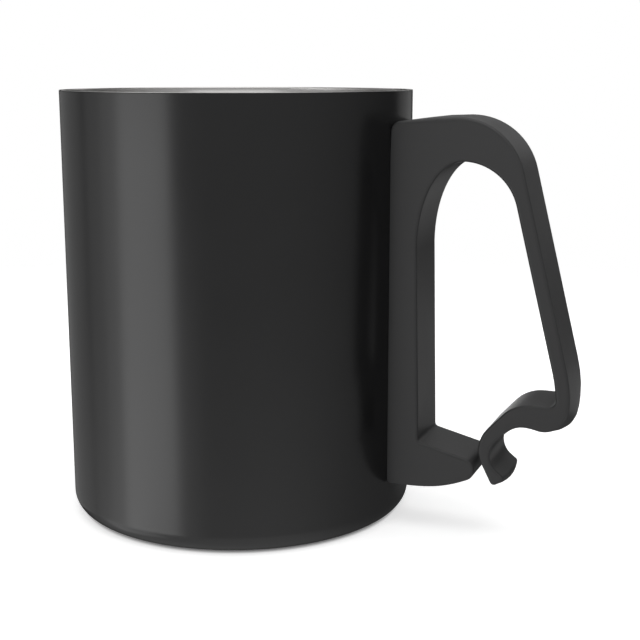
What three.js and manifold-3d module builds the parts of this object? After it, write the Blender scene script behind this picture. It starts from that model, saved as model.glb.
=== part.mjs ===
// A camping mug: a double-wall steel cup with a one-piece plastic carabiner handle.
// Millimetres, +Z up. The origin is the middle of the base, and the handle points along +X.

import * as THREE from "three";
import { mergeVertices } from "three/addons/utils/BufferGeometryUtils.js";
import Module from "manifold-3d";

// Cup
const CUP_DIAMETER = 70; // outside of the shell
const CUP_HEIGHT = 84.7; // base to the top of the lip
const SHEET = 0.5; // steel of the shell, the liner and the base
const AIR_GAP = 3.5; // between the two walls
const FLOOR_GAP = 3.5; // between the base and the liner's floor
const CORNER_RADIUS = 3.5; // bottom corner of the shell, outside
const LINER_CORNER = 6; // bottom corner of the liner, outside
const BASE_LEDGE = 5; // flat ring of the shell that carries the base plate
const LIP_HEIGHT = 0.2; // bare steel that covers the shell's edge
const LIP_STAND = 1.5; // straight stretch of the liner under the lip
const FLARE_HEIGHT = 6; // where the liner widens to meet the shell
const SHEET_FIT = 0.1; // between steel sheets that touch

// Handle moulding, seen from the side
const HANDLE_WIDTH = 13;
const HANDLE_FOOT = 8.6; // lower end above the base
const RIM_DROP = 4.5; // crown below the rim
const EDGE_ROUND = 0.6; // rounding along both faces
const THINNEST_ROUND = 0.4; // most that the rounding takes of a thin wall, on each side
const CROWN_RADIUS = 53.5; // top face, from the shell to the shoulder
const CROWN_REACH = 12; // from the shell to the shoulder's centre
const CROWN_DEPTH = 8.2; // from the crown to the finger hole
const SHOULDER_RADIUS = 13.1;
const HOLE_RADIUS = 10.5; // finger hole under the shoulder
const ARCH_RISE = 16.5; // finger hole beside the strip
const STRIP_TOP = 4.7; // strip along the cup, under the arch
const STRIP_FOOT = 5.6; // strip along the cup, at the stub
const LEG_THICKNESS = 2.7; // the leaf that bends
const STUB_HEIGHT = 9.1; // inner corner of strip and stub, above the handle's lower end
const STUB_CORNER = 0.8;
const NOSE_REACH = 14.55; // centre of the stub's round nose
const NOSE_HEIGHT = 4.5;
const NOSE_RADIUS = 2.3;
const FOOT_FLAT = 4.1; // level stretch of the underside, next to the shell
const FOOT_SWEEP = 4.4; // how far that level carries into the curve
const MOUTH = 0.7; // between nose and hook
const HOOK_RADIUS = 6.15; // outside of the hook
const HOOK_WALL = 2.25;
const HOOK_DROP = 0.9; // inside of the hook sits lower, which thickens its neck
const HOOK_RISE = 4.35; // hook above the nose
const TAIL_LENGTH = 2.4; // upper side of the finger tail
const TAIL_DROP = 4.7; // lower side of the finger tail
const TAIL_ROUND = 0.2; // how much rounder the tail's corners are than the edges
const TAIL_CROWN = 0.7; // how far the tail's end bulges in the middle of its width
const BRIDGE_LENGTH = 6.4; // hook to heel, outwards
const BRIDGE_RISE = 9.15; // hook to heel, upwards
const BRIDGE_THICKNESS = 5.1; // heel's underside to the top of the bridge
const BRIDGE_RADIUS = 7.5; // where the bridge turns down to the hook
const HEEL_RADIUS = 4.6;
const HEEL_CORNER = 1.3; // inside of the heel
const SHIN_RADIUS = 32; // where the leg bows upright into the heel, outside
const CURVE_PULL = 4.2; // reach of the free curves under the bridge and the stub
const SEAM_DROP = 4; // where the leg starts to bend, below the shoulder
const SEAM_GAP = 0.3;

// Directions on the handle's round parts, in degrees from straight outwards
const HEEL_END = -106;
const NECK_ANGLE = 137.5;
const TAIL_TOP_ANGLE = 232;
const TAIL_UNDER_ANGLE = 207;
const NOSE_UNDER_ANGLE = -65;

// Brackets on the shell and the screw that locks the handle
const BRACKET_SHEET = 1;
const BRACKET_FOOT = 11; // length of the welded foot
const POCKET_WALL = 2.2; // plastic left on both sides of a bracket
const FIT = 0.3; // between a piece and its seat
const WEB = 1.4; // plastic that drops behind the upper bracket's tongue
const TONGUE_LENGTH = 5;
const TONGUE_COVER = 9.5; // plastic over the tongue
const SCREW_REACH = 4.4; // screw axis from the shell
const SCREW_DIAMETER = 2.8;
const SCREW_PROUD = 2; // tip past the lower bracket
const SCREW_POINT = 1; // cone at the tip
const HEAD_DIAMETER = 5;
const HEAD_HEIGHT = 2;
const HEAD_SUNK = 0.6;
const HEAD_GRIP = 2; // plastic between the head and the bracket
const SHELF_EDGE = 2.4; // bracket past the screw's axis

// Fineness of round parts
const ROUND_STEPS = 60;
const SCREW_STEPS = 24;
const PROFILE_STEPS = 3;
const CURVE_STEPS = 6;
const EDGE_STEPS = 2;
const WIDTH_STEPS = 4;

// Finishes
const BLACK_COAT = new THREE.MeshStandardMaterial({ color: 0x1e1e20, roughness: 0.35, metalness: 0 });
const BARE_STEEL = new THREE.MeshStandardMaterial({ color: 0xb8b6b2, roughness: 0.3, metalness: 1 });
const BLACK_PLASTIC = new THREE.MeshStandardMaterial({ color: 0x222224, roughness: 0.4, metalness: 0 });
const ZINC_STEEL = new THREE.MeshStandardMaterial({ color: 0x8f9194, roughness: 0.4, metalness: 1 });

const QUARTER = Math.PI / 2;
const radians = THREE.MathUtils.degToRad;

const cupRadius = CUP_DIAMETER / 2;
const shellInside = cupRadius - SHEET;
const lipUnder = CUP_HEIGHT - LIP_HEIGHT;
const baseOpening = cupRadius - CORNER_RADIUS - BASE_LEDGE;
const handleHeight = CUP_HEIGHT - RIM_DROP - HANDLE_FOOT;
const bracketWidth = HANDLE_WIDTH - 2 * (POCKET_WALL + FIT);
const pocketWidth = bracketWidth + 2 * FIT;
const pocketDepth = BRACKET_SHEET + 2 * FIT;
const edgeRound = Math.min(EDGE_ROUND, THINNEST_ROUND * Math.min(HOOK_WALL, LEG_THICKNESS));

const wasm = await Module();
wasm.setup();

// A closed geometry as a solid that can be joined and cut.
function solidOf(geometry) {
  geometry.deleteAttribute("normal");
  geometry.deleteAttribute("uv");
  const merged = mergeVertices(geometry);
  const vertProperties = merged.attributes.position.array;
  const triVerts = Uint32Array.from(merged.index.array);
  return new wasm.Manifold(new wasm.Mesh({ numProp: 3, vertProperties, triVerts }));
}

// A solid as a geometry again.
function geometryOf(solid) {
  const mesh = solid.getMesh();
  const geometry = new THREE.BufferGeometry();
  geometry.setAttribute("position", new THREE.BufferAttribute(mesh.vertProperties, 3));
  geometry.setIndex(new THREE.BufferAttribute(mesh.triVerts, 1));
  geometry.computeVertexNormals();
  return geometry;
}

// A profile of radius and height, turned round the Z axis.
function revolve(profile, steps = ROUND_STEPS) {
  return new THREE.LatheGeometry(profile.getPoints(PROFILE_STEPS), steps).rotateX(QUARTER);
}

// A side outline as a slab across the handle's middle plane, with both faces rounded off at the edge.
function slab(outline, width, edge = 0, steps = 1) {
  const depth = width - 2 * edge;
  const geometry = new THREE.ExtrudeGeometry(outline, {
    depth,
    steps,
    curveSegments: CURVE_STEPS,
    bevelEnabled: edge > 0,
    bevelThickness: edge,
    bevelSize: edge,
    bevelOffset: -edge,
    bevelSegments: EDGE_STEPS,
  });
  return geometry.rotateX(QUARTER).translate(0, depth / 2, 0);
}

// A round bar about an upright axis that stands a given distance out from the shell.
function uprightBar(reach, diameter, from, to) {
  const bar = new THREE.CylinderGeometry(diameter / 2, diameter / 2, to - from, SCREW_STEPS);
  return bar.rotateX(QUARTER).translate(reach, 0, (from + to) / 2);
}

// The point on a circle, and the way along the circle there, turning left.
function onCircle(centre, radius, angle) {
  return new THREE.Vector2(Math.cos(angle), Math.sin(angle)).multiplyScalar(radius).add(centre);
}

function alongCircle(angle) {
  return new THREE.Vector2(-Math.sin(angle), Math.cos(angle));
}

// A straight line to a corner that is rounded on the way to the next point.
function roundCorner(outline, corner, next, radius) {
  const back = outline.currentPoint.clone().sub(corner).normalize();
  const ahead = next.clone().sub(corner).normalize();
  const half = Math.acos(back.dot(ahead)) / 2;
  const middle = back.clone().add(ahead).setLength(radius / Math.sin(half)).add(corner);
  const start = back.clone().multiplyScalar(radius / Math.tan(half)).add(corner).sub(middle);
  const end = ahead.clone().multiplyScalar(radius / Math.tan(half)).add(corner).sub(middle);
  outline.absarc(middle.x, middle.y, radius, start.angle(), end.angle(), back.cross(ahead) > 0);
}

// Black tube with a rounded bottom corner and a ledge that turns in under the base plate.
function outerShell() {
  const bend = cupRadius - CORNER_RADIUS;
  const shellTop = lipUnder - SHEET_FIT;
  const profile = new THREE.Path();
  profile.moveTo(baseOpening, 0);
  profile.lineTo(bend, 0);
  profile.absarc(bend, CORNER_RADIUS, CORNER_RADIUS, -QUARTER, 0, false);
  profile.lineTo(cupRadius, shellTop);
  profile.lineTo(shellInside, shellTop);
  profile.absarc(bend, CORNER_RADIUS, CORNER_RADIUS - SHEET, 0, -QUARTER, true);
  profile.lineTo(baseOpening, SHEET);
  profile.closePath();
  return revolve(profile);
}

// Pan that lies on the shell's ledge and comes down level with it in the middle.
function basePlate() {
  const pan = baseOpening - FIT;
  const flange = cupRadius - CORNER_RADIUS;
  const ledge = SHEET + SHEET_FIT;
  const profile = new THREE.Path();
  profile.moveTo(0, 0);
  profile.lineTo(pan, 0);
  profile.lineTo(pan, ledge);
  profile.lineTo(flange, ledge);
  profile.lineTo(flange, ledge + SHEET);
  profile.lineTo(pan - SHEET, ledge + SHEET);
  profile.lineTo(pan - SHEET, SHEET);
  profile.lineTo(0, SHEET);
  return revolve(profile);
}

// Steel liner: round-cornered cup that widens below the rim and covers the shell's edge with its lip.
function innerCup() {
  const outside = shellInside - AIR_GAP;
  const inside = outside - SHEET;
  const floor = 2 * SHEET + SHEET_FIT + FLOOR_GAP;
  const bend = outside - LINER_CORNER;
  const neck = shellInside - SHEET_FIT;
  const flareTop = lipUnder - LIP_STAND;
  const flareFoot = flareTop - FLARE_HEIGHT;
  const flareMiddle = flareTop - FLARE_HEIGHT / 2;
  const lipCentre = CUP_HEIGHT - LIP_HEIGHT / 2;
  const profile = new THREE.Path();
  profile.moveTo(0, floor);
  profile.lineTo(bend, floor);
  profile.absarc(bend, floor + LINER_CORNER, LINER_CORNER, -QUARTER, 0, false);
  profile.lineTo(outside, flareFoot);
  profile.bezierCurveTo(outside, flareMiddle, neck, flareMiddle, neck, flareTop);
  profile.lineTo(neck, lipUnder);
  profile.absarc(cupRadius - LIP_HEIGHT / 2, lipCentre, LIP_HEIGHT / 2, -QUARTER, QUARTER, false);
  profile.absarc(neck - SHEET + LIP_HEIGHT, lipUnder, LIP_HEIGHT, QUARTER, 2 * QUARTER, false);
  profile.lineTo(neck - SHEET, flareTop);
  profile.bezierCurveTo(neck - SHEET, flareMiddle, inside, flareMiddle, inside, flareFoot);
  profile.absarc(bend, floor + LINER_CORNER, LINER_CORNER - SHEET, 0, -QUARTER, true);
  profile.lineTo(0, floor + SHEET);
  return revolve(profile);
}

// Side view of the handle: x runs outwards from the shell and y upwards from the handle's lower end.
const nose = new THREE.Vector2(NOSE_REACH, NOSE_HEIGHT);
const mouthLine = nose.x + NOSE_RADIUS + MOUTH / 2;
const hook = new THREE.Vector2(nose.x + NOSE_RADIUS + MOUTH + HOOK_RADIUS, nose.y + HOOK_RISE);
const hookHollow = new THREE.Vector2(hook.x, hook.y - HOOK_DROP);
const heel = new THREE.Vector2(hook.x + BRIDGE_LENGTH, hook.y + BRIDGE_RISE);
const shin = new THREE.Vector2(heel.x + HEEL_RADIUS - SHIN_RADIUS, heel.y);
const shoulder = new THREE.Vector2(CROWN_REACH, handleHeight - SHOULDER_RADIUS);
const tailTop = radians(TAIL_TOP_ANGLE);

// The leg's outer face touches the shoulder and the bowed shin, and legLean is its slant from upright.
const legSpan = shin.clone().sub(shoulder);
const legTaper = Math.asin((SHOULDER_RADIUS - SHIN_RADIUS) / legSpan.length());
const legLean = Math.atan2(legSpan.x, -legSpan.y) - legTaper;
const legOut = onCircle(new THREE.Vector2(), 1, legLean);
const legDown = alongCircle(legLean).negate();
const legInside = shoulder.dot(legOut) + SHOULDER_RADIUS - LEG_THICKNESS;

// The point at a given height on a straight line, given by its normal and its offset along that normal.
function onLine(normal, offset, height) {
  return new THREE.Vector2((offset - height * normal.y) / normal.x, height);
}

// The whole moulding: strip, crown, leg, shin, heel, bridge, hook, tail and stub, in one line round it.
function handleOutline() {
  const saddleDepth = cupRadius - Math.sqrt(cupRadius ** 2 - (HANDLE_WIDTH / 2) ** 2) + edgeRound;
  const crownStart = QUARTER + Math.asin((CROWN_REACH + saddleDepth) / CROWN_RADIUS);
  const heelEnd = radians(HEEL_END);
  const neck = radians(NECK_ANGLE);
  const tailUnder = radians(TAIL_UNDER_ANGLE);
  const noseUnder = radians(NOSE_UNDER_ANGLE);
  const hollowRadius = HOOK_RADIUS - HOOK_WALL;
  const bridgeTop = heel.y - HEEL_RADIUS + BRIDGE_THICKNESS;
  const neckOut = onCircle(new THREE.Vector2(), 1, neck);
  const neckOffset = neckOut.dot(hook) + HOOK_RADIUS - BRIDGE_RADIUS;
  const bridge = onLine(neckOut, neckOffset, bridgeTop - BRIDGE_RADIUS);
  const shinInside = SHIN_RADIUS - LEG_THICKNESS;
  const cornerReach = shinInside - HEEL_CORNER;
  const cornerEnd = Math.asin((bridgeTop + HEEL_CORNER - shin.y) / cornerReach);
  const heelCorner = onCircle(shin, cornerReach, cornerEnd);
  const holeTop = handleHeight - CROWN_DEPTH;
  const hole = onLine(legOut, legInside - HOLE_RADIUS, holeTop - HOLE_RADIUS);
  const stubRoot = new THREE.Vector2(STRIP_FOOT, STUB_HEIGHT);
  const stubSpan = nose.clone().sub(stubRoot);
  const stubSlope = stubSpan.angle() + Math.asin(NOSE_RADIUS / stubSpan.length());

  const outline = new THREE.Shape();
  outline.absarc(shoulder.x, handleHeight - CROWN_RADIUS, CROWN_RADIUS, crownStart, QUARTER, true);
  outline.absarc(shoulder.x, shoulder.y, SHOULDER_RADIUS, QUARTER, legLean, true);
  outline.absarc(shin.x, shin.y, SHIN_RADIUS, legLean, 0, true);
  outline.absarc(heel.x, heel.y, HEEL_RADIUS, 0, heelEnd, true);

  const neckEnd = onCircle(hookHollow, hollowRadius, neck);
  const underBridge = alongCircle(heelEnd).multiplyScalar(-CURVE_PULL).add(outline.currentPoint);
  const underNeck = alongCircle(neck).multiplyScalar(-CURVE_PULL).add(neckEnd);
  outline.bezierCurveTo(underBridge.x, underBridge.y, underNeck.x, underNeck.y, neckEnd.x, neckEnd.y);
  outline.absarc(hookHollow.x, hookHollow.y, hollowRadius, neck, tailTop, false);

  const tailEnd = alongCircle(tailTop).multiplyScalar(TAIL_LENGTH).add(outline.currentPoint);
  const hookFoot = onCircle(hook, HOOK_RADIUS, tailUnder);
  const tailTip = alongCircle(tailUnder).multiplyScalar(TAIL_DROP).add(hookFoot);
  roundCorner(outline, tailEnd, tailTip, edgeRound + TAIL_ROUND);
  roundCorner(outline, tailTip, hookFoot, edgeRound + TAIL_ROUND);
  outline.absarc(hook.x, hook.y, HOOK_RADIUS, tailUnder, neck, true);
  outline.absarc(bridge.x, bridge.y, BRIDGE_RADIUS, neck, QUARTER, true);
  outline.absarc(heelCorner.x, heelCorner.y, HEEL_CORNER, -QUARTER, cornerEnd, false);
  outline.absarc(shin.x, shin.y, shinInside, cornerEnd, legLean, false);
  outline.absarc(hole.x, hole.y, HOLE_RADIUS, legLean, QUARTER, false);
  const archWidth = hole.x - STRIP_TOP;
  outline.absellipse(hole.x, holeTop - ARCH_RISE, archWidth, ARCH_RISE, QUARTER, 2 * QUARTER, false, 0);

  const noseTop = onCircle(nose, NOSE_RADIUS, stubSlope + QUARTER);
  roundCorner(outline, stubRoot, noseTop, STUB_CORNER);
  outline.absarc(nose.x, nose.y, NOSE_RADIUS, stubSlope + QUARTER, noseUnder, true);
  const underNose = alongCircle(noseUnder).multiplyScalar(-CURVE_PULL).add(outline.currentPoint);
  outline.bezierCurveTo(underNose.x, underNose.y, FOOT_FLAT + FOOT_SWEEP, 0, FOOT_FLAT, 0);
  outline.lineTo(-saddleDepth, 0);
  outline.closePath();
  return outline;
}

// Lets the tail, below the hook, bulge towards its end in the middle of the width, like a tongue.
function bulgeTail(geometry) {
  const root = onCircle(hook, HOOK_RADIUS, tailTop);
  const way = alongCircle(tailTop);
  const corners = geometry.attributes.position;
  for (let i = 0; i < corners.count; i += 1) {
    const side = corners.getY(i);
    const spot = new THREE.Vector2(corners.getX(i), corners.getZ(i));
    const along = THREE.MathUtils.clamp(spot.clone().sub(root).dot(way) / TAIL_LENGTH, 0, 1);
    if (spot.y < hook.y - HOOK_RADIUS / 2) {
      spot.addScaledVector(way, TAIL_CROWN * along * (1 - (2 * side / HANDLE_WIDTH) ** 2));
    }
    corners.setXYZ(i, spot.x, side, spot.y);
  }
  return geometry;
}

// Everything of the moulding that swings: below a cut square across the leg, outside the mouth.
function armSide(gap) {
  const cut = onCircle(shoulder, SHOULDER_RADIUS, legLean).addScaledVector(legDown, SEAM_DROP - gap);
  const outer = cut.clone().addScaledVector(legOut, HEEL_RADIUS);
  const inner = cut.clone().addScaledVector(legOut, -2 * LEG_THICKNESS);
  const outline = new THREE.Shape();
  outline.moveTo(outer.x, outer.y);
  outline.lineTo(inner.x, inner.y);
  outline.lineTo(mouthLine, inner.y);
  outline.lineTo(mouthLine, -HANDLE_FOOT);
  outline.lineTo(heel.x + 2 * HEEL_RADIUS, -HANDLE_FOOT);
  outline.lineTo(heel.x + 2 * HEEL_RADIUS, outer.y);
  outline.closePath();
  return solidOf(slab(outline, 2 * HANDLE_WIDTH));
}

// Heights of the fixings, upwards from the handle's lower end.
const tongueTop = handleHeight - TONGUE_COVER;
const hookBend = tongueTop - TONGUE_LENGTH - BRACKET_SHEET;
const headSeat = HEAD_SUNK + HEAD_HEIGHT + FIT;
const shelf = headSeat + HEAD_GRIP + FIT;
const shelfTop = shelf + BRACKET_SHEET;
const shelfReach = SCREW_REACH + SHELF_EDGE;
const screwTip = shelfTop + SCREW_PROUD;
const tongueFace = 2 * FIT + WEB;
const tongueBack = tongueFace + BRACKET_SHEET;

// Room in the strip for the upper bracket, long enough below to drop the handle onto the tongue.
function upperPocket() {
  const outline = new THREE.Shape();
  outline.moveTo(-pocketDepth, hookBend - BRACKET_FOOT - TONGUE_LENGTH - FIT);
  outline.lineTo(pocketDepth, hookBend - BRACKET_FOOT - TONGUE_LENGTH - FIT);
  outline.lineTo(pocketDepth, hookBend - FIT);
  outline.lineTo(tongueBack + FIT, hookBend - FIT);
  outline.lineTo(tongueBack + FIT, tongueTop + FIT);
  outline.lineTo(tongueFace - FIT, tongueTop + FIT);
  outline.lineTo(tongueFace - FIT, hookBend + BRACKET_SHEET + FIT);
  outline.lineTo(-pocketDepth, hookBend + BRACKET_SHEET + FIT);
  outline.closePath();
  return solidOf(slab(outline, pocketWidth));
}

// Room in the strip for the lower bracket.
function lowerPocket() {
  const outline = new THREE.Shape();
  outline.moveTo(-pocketDepth, shelf - FIT);
  outline.lineTo(shelfReach + FIT, shelf - FIT);
  outline.lineTo(shelfReach + FIT, shelfTop + FIT);
  outline.lineTo(pocketDepth, shelfTop + FIT);
  outline.lineTo(pocketDepth, shelf + BRACKET_FOOT + FIT);
  outline.lineTo(-pocketDepth, shelf + BRACKET_FOOT + FIT);
  outline.closePath();
  return solidOf(slab(outline, pocketWidth));
}

// The moulding with its saddle for the cup, the bracket pockets and the screw's counterbore.
function handleMoulding() {
  const clearance = new THREE.Path();
  clearance.moveTo(0, -HANDLE_FOOT);
  clearance.lineTo(cupRadius + FIT, -HANDLE_FOOT);
  clearance.lineTo(cupRadius + FIT, CUP_HEIGHT);
  clearance.lineTo(0, CUP_HEIGHT);
  const saddle = solidOf(revolve(clearance).translate(-cupRadius, 0, 0));
  const bore = uprightBar(SCREW_REACH, SCREW_DIAMETER + 2 * FIT, -HEAD_SUNK, screwTip + FIT);
  const counterbore = uprightBar(SCREW_REACH, HEAD_DIAMETER + 2 * FIT, -HEAD_SUNK, headSeat);
  const body = bulgeTail(slab(handleOutline(), HANDLE_WIDTH, edgeRound, WIDTH_STEPS));
  return solidOf(body)
    .subtract(saddle)
    .subtract(upperPocket())
    .subtract(lowerPocket())
    .subtract(solidOf(bore))
    .subtract(solidOf(counterbore));
}

// Welded foot of a bracket, bent to the shell's curve.
function bracketFoot(from, to) {
  const inside = cupRadius + FIT;
  const outside = inside + BRACKET_SHEET;
  const half = Math.asin(bracketWidth / 2 / outside);
  const outline = new THREE.Shape();
  outline.absarc(0, 0, outside, -half, half, false);
  outline.absarc(0, 0, inside, half, -half, true);
  outline.closePath();
  const settings = { depth: to - from, bevelEnabled: false, curveSegments: PROFILE_STEPS };
  const foot = new THREE.ExtrudeGeometry(outline, settings);
  return solidOf(foot.translate(-cupRadius, 0, from));
}

// Stamped hook: the foot steps out into a tongue that points up.
function upperBracket() {
  const root = FIT + BRACKET_SHEET / 2;
  const outline = new THREE.Shape();
  outline.moveTo(root, hookBend);
  outline.lineTo(tongueFace, hookBend);
  outline.absarc(tongueFace, hookBend + BRACKET_SHEET, BRACKET_SHEET, -QUARTER, 0, false);
  outline.lineTo(tongueBack, tongueTop);
  outline.lineTo(tongueFace, tongueTop);
  outline.lineTo(tongueFace, hookBend + BRACKET_SHEET);
  outline.lineTo(root, hookBend + BRACKET_SHEET);
  outline.closePath();
  const tongue = solidOf(slab(outline, bracketWidth));
  return geometryOf(bracketFoot(hookBend - BRACKET_FOOT, hookBend + BRACKET_SHEET).add(tongue));
}

// Stamped angle: a shelf with the screw's hole, under a welded foot.
function lowerBracket() {
  const root = FIT + BRACKET_SHEET / 2;
  const outline = new THREE.Shape();
  outline.moveTo(root, shelf);
  outline.lineTo(shelfReach, shelf);
  outline.lineTo(shelfReach, shelfTop);
  outline.lineTo(root, shelfTop);
  outline.closePath();
  const hole = solidOf(uprightBar(SCREW_REACH, SCREW_DIAMETER + 2 * FIT, shelf - FIT, shelfTop + FIT));
  const angle = bracketFoot(shelf, shelf + BRACKET_FOOT).add(solidOf(slab(outline, bracketWidth)));
  return geometryOf(angle.subtract(hole));
}

// Screw with a low round head, pointing up.
function lockScrew() {
  const headFace = headSeat - FIT - HEAD_HEIGHT;
  const headRim = HEAD_DIAMETER / 2;
  const shank = SCREW_DIAMETER / 2;
  const profile = new THREE.Path();
  profile.moveTo(0, headFace);
  profile.absellipse(0, headFace + HEAD_HEIGHT / 2, headRim, HEAD_HEIGHT / 2, -QUARTER, 0, false, 0);
  profile.lineTo(headRim, headFace + HEAD_HEIGHT);
  profile.lineTo(shank, headFace + HEAD_HEIGHT);
  profile.lineTo(shank, screwTip - SCREW_POINT);
  profile.lineTo(0, screwTip);
  return revolve(profile, SCREW_STEPS).translate(SCREW_REACH, 0, 0);
}

function piece(name, geometry, material) {
  const mesh = new THREE.Mesh(geometry, material);
  mesh.name = name;
  return mesh;
}

const cup = new THREE.Group();
cup.add(piece("outer_shell", outerShell(), BLACK_COAT));
cup.add(piece("base_plate", basePlate(), BLACK_COAT));
cup.add(piece("inner_cup", innerCup(), BARE_STEEL));

const moulding = handleMoulding();
const handle = new THREE.Group();
handle.position.set(cupRadius, 0, HANDLE_FOOT);
handle.add(piece("upper_bracket", upperBracket(), ZINC_STEEL));
handle.add(piece("lower_bracket", lowerBracket(), ZINC_STEEL));
handle.add(piece("lock_screw", lockScrew(), ZINC_STEEL));
handle.add(piece("handle_frame", geometryOf(moulding.subtract(armSide(SEAM_GAP))), BLACK_PLASTIC));
handle.add(piece("spring_arm", geometryOf(moulding.intersect(armSide(0))), BLACK_PLASTIC));

const mug = new THREE.Group();
mug.add(cup);
mug.add(handle);

export default mug;
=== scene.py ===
"""A camping mug with a carabiner handle: fine meshes, finishes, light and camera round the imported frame."""

import cmath
import logging
import math
from collections.abc import Mapping, Sequence
from dataclasses import dataclass
from enum import Enum
from typing import ClassVar

import bmesh
import bpy
from mathutils import Matrix, Vector


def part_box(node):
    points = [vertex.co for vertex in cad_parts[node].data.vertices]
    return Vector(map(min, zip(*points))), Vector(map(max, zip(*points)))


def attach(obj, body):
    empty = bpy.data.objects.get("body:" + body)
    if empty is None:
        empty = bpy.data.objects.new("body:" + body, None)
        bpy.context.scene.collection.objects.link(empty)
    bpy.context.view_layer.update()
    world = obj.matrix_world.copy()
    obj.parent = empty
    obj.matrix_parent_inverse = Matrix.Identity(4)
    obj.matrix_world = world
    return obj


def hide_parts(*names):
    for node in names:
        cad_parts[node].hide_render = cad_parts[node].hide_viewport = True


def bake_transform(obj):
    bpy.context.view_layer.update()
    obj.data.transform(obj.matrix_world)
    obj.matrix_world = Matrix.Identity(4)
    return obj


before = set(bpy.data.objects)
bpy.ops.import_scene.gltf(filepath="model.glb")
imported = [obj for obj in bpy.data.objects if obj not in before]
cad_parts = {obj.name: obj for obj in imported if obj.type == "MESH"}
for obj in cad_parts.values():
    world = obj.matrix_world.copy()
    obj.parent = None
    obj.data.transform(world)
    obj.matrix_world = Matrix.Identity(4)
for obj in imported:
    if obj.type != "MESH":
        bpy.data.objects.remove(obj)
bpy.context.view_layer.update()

LOG = logging.getLogger("camping_mug")
MM = 0.001  # sizes are in millimetres, and meshes in metres
TINY = 1e-6  # a length that counts as none
QUARTER = math.pi / 2
SHARP = math.radians(38)  # faces that meet more steeply than this have a crisp edge
NOISE_MIDDLE = 0.5  # what a noise field is on average

Colour = tuple[float, float, float]
Point = tuple[float, float, float]
Setting = Mapping[str, object]


class Slot(Enum):
    """Finishes that the record names."""

    COAT = "black_coat"
    STEEL = "bare_steel"
    PLASTIC = "black_plastic"
    ZINC = "zinc_steel"


class Body(Enum):
    """Bodies that pieces move with."""

    MUG = "mug"
    ARM = "arm"


class Value:
    """An output of a node. Arithmetic on it adds Math nodes."""

    def __init__(self, work: "NodeWork", socket: bpy.types.NodeSocket) -> None:
        """Wraps one socket of a tree."""
        self.work = work
        self.socket = socket

    def other(self, name: str) -> "Value":
        """Another output of the same node."""
        return Value(self.work, self.socket.node.outputs[name])

    def math(self, operation: str, *others: "float | Value") -> "Value":
        """Adds a Math node that works on this value and others, in the order of its sockets."""
        inputs = dict(enumerate((self, *others)))
        return self.work.add("ShaderNodeMath", inputs, {"operation": operation})

    def around(self, size: float, spread: float) -> "Value":
        """A number that follows this noise field and has the given size at its middle."""
        return size + (self - NOISE_MIDDLE) * spread

    def __add__(self, other: "float | Value") -> "Value":
        """Sum."""
        return self.math("ADD", other)

    __radd__ = __add__

    def __sub__(self, other: "float | Value") -> "Value":
        """Difference."""
        return self.math("SUBTRACT", other)

    def __rsub__(self, other: float) -> "Value":
        """Difference from a number."""
        return self.math("MULTIPLY_ADD", -1.0, other)

    def __mul__(self, other: "float | Value") -> "Value":
        """Product."""
        return self.math("MULTIPLY", other)

    __rmul__ = __mul__

    def __truediv__(self, other: "float | Value") -> "Value":
        """Quotient."""
        return self.math("DIVIDE", other)


class NodeWork:
    """A node tree and the one way to add nodes to it."""

    def __init__(self, tree: bpy.types.NodeTree) -> None:
        """Takes over a tree and empties it."""
        self.tree = tree
        tree.nodes.clear()

    @staticmethod
    def _find(sockets: Sequence[bpy.types.NodeSocket], key: "str | int") -> bpy.types.NodeSocket:
        """Finds a socket by number, identifier or name.

        Args:
            sockets: A node's inputs or outputs.
            key: A number, an identifier or a name.

        Returns:
            The socket.
        """
        if isinstance(key, int):
            return sockets[key]
        for socket in sockets:
            if socket.identifier == key:
                return socket
        return sockets[key]

    def add(
        self,
        kind: str,
        inputs: "Mapping[str | int, object] | None" = None,
        settings: Setting | None = None,
        output: "str | int" = 0,
    ) -> Value:
        """Adds one node.

        Args:
            kind: The node's type.
            inputs: Numbers, colours or values for its sockets.
            settings: Its properties, which are set before its sockets.
            output: The output that is wanted.

        Returns:
            That output.
        """
        node = self.tree.nodes.new(kind)
        for name, setting in (settings or {}).items():
            setattr(node, name, setting)
        for key, given in (inputs or {}).items():
            socket = self._find(node.inputs, key)
            if isinstance(given, Value):
                self.tree.links.new(given.socket, socket)
            else:
                socket.default_value = given
        return Value(self, self._find(node.outputs, output) if node.outputs else None)

    def noise(self, place: Value, grain: float, detail: float) -> Value:
        """Soft random field, with lumps of a size in millimetres and a number of finer layers."""
        inputs = {"Vector": place, "Scale": 1 / (grain * MM), "Detail": detail}
        return self.add("ShaderNodeTexNoise", inputs)

    def step(self, value: Value, low: float, high: float) -> Value:
        """Soft step from 0 at low to 1 at high."""
        inputs = {"Value": value, "From Min": low, "From Max": high}
        return self.add("ShaderNodeMapRange", inputs, {"interpolation_type": "SMOOTHSTEP"})

    def blend(self, share: Value, first: Colour, second: Colour) -> Value:
        """Colour between two colours."""
        inputs = {"Factor_Float": share, "A_Color": (*first, 1.0), "B_Color": (*second, 1.0)}
        return self.add("ShaderNodeMix", inputs, {"data_type": "RGBA"}, "Result_Color")

    def bump(self, height: Value, depth: float) -> Value:
        """Normal of a surface with fine relief, whose depth is in millimetres."""
        inputs = {"Height": height, "Distance": depth * MM, "Strength": 1.0}
        return self.add("ShaderNodeBump", inputs)


class Finish:
    """A finish of the record, whose look is one shader."""

    slot: ClassVar[Slot]

    def paint(self, work: NodeWork, place: Value) -> Setting:
        """Socket values of the finish, from its tree and the object coordinates."""
        raise NotImplementedError

    def build(self) -> bpy.types.Material:
        """Makes the material.

        Returns:
            The material.
        """
        material = bpy.data.materials.new(self.slot.value)
        material.use_nodes = True
        work = NodeWork(material.node_tree)
        place = work.add("ShaderNodeTexCoord", output="Object")
        shader = work.add("ShaderNodeBsdfPrincipled", self.paint(work, place))
        work.add("ShaderNodeOutputMaterial", {"Surface": shader})
        return material


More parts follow.
